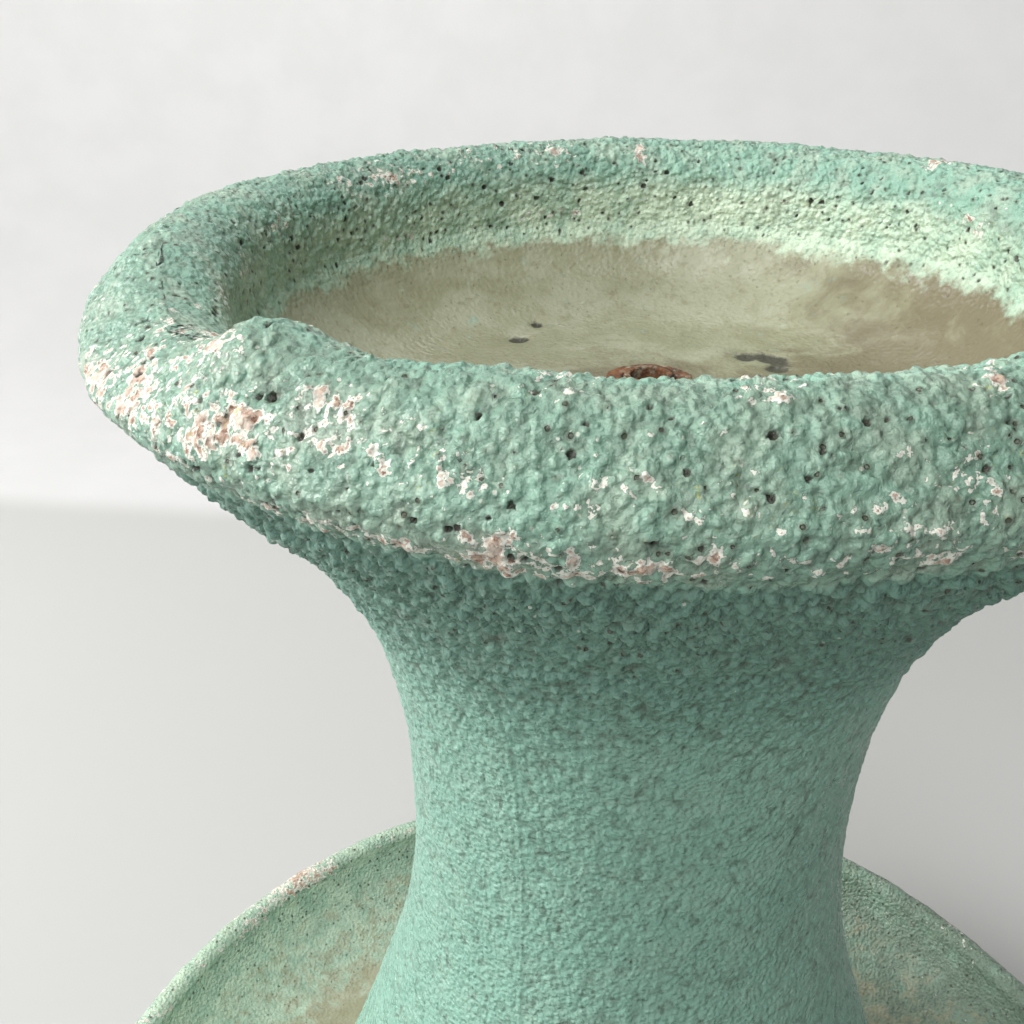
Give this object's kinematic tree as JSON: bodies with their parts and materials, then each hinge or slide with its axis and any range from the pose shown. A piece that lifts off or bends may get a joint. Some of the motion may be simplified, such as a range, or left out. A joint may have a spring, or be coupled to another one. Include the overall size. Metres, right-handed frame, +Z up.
{
  "type": "drinking fountain",
  "caption": "Two-tier cast drinking fountain: thick-rimmed bowl on a waisted column in a shallow basin, with stop valve and lift-out overflow.",
  "frame": {"origin": "on the fountain's vertical axis at ground level, the centre of the box's bottom face", "axes": "+Z up along the column; +Y is the rear, where the supply and the waste leave; +X to the right seen from the front"},
  "size_m": [0.543, 0.543, 0.5894],
  "materials": {
    "painted_cement": "rough cast cement, thick turquoise paint, chipped",
    "mortar": "rough grey-beige mortar",
    "rusty_iron": "rusted",
    "galvanised_steel": "dull zinc",
    "brass": "turned, slightly tarnished",
    "chromed_ball": "polished",
    "rubber": "matt black",
    "ptfe": "matt white",
    "vinyl": "dipped blue sleeve"
  },
  "bodies": {
    "fountain": {"upper_bowl": "painted_cement", "column": "painted_cement", "lower_basin": "painted_cement", "bowl_bedding_ring": "mortar", "column_bedding_ring": "mortar", "feed_pipe": "rusty_iron", "bowl_seal_washer": "rubber", "bowl_flange_washer": "rusty_iron", "bowl_locknut": "rusty_iron", "basin_seal_washer": "rubber", "basin_flange_washer": "galvanised_steel", "basin_locknut": "galvanised_steel", "feed_elbow": "galvanised_steel", "supply_pipe": "galvanised_steel", "inlet_nipple": "galvanised_steel", "inlet_coupling": "brass", "valve_body": "brass", "valve_end_cap": "brass", "valve_seat_inner": "ptfe", "valve_seat_outer": "ptfe", "stem_packing": "ptfe", "gland_nut": "brass", "waste_body": "brass", "waste_flange_gasket": "rubber", "waste_under_gasket": "rubber", "waste_slip_washer": "galvanised_steel", "waste_locknut": "brass", "waste_elbow": "galvanised_steel", "waste_outlet_pipe": "galvanised_steel"},
    "valve_handle": {"valve_ball": "chromed_ball", "valve_stem": "brass", "valve_lever": "galvanised_steel", "lever_grip": "vinyl", "lever_nut": "galvanised_steel"},
    "overflow": {"standpipe": "brass", "standpipe_seal": "rubber", "strainer_cap": "brass"}
  },
  "joints": [
    {"name": "valve_turn", "type": "hinge", "parent": "fountain", "child": "valve_handle", "pos_m": [0, 0.203, 0.02], "axis": [0, 0, -1], "range_deg": [0, 90]},
    {"name": "standpipe_lift", "type": "slide", "parent": "fountain", "child": "overflow", "axis": [0, 0, 1], "range_m": [0, 0.06]}
  ]
}
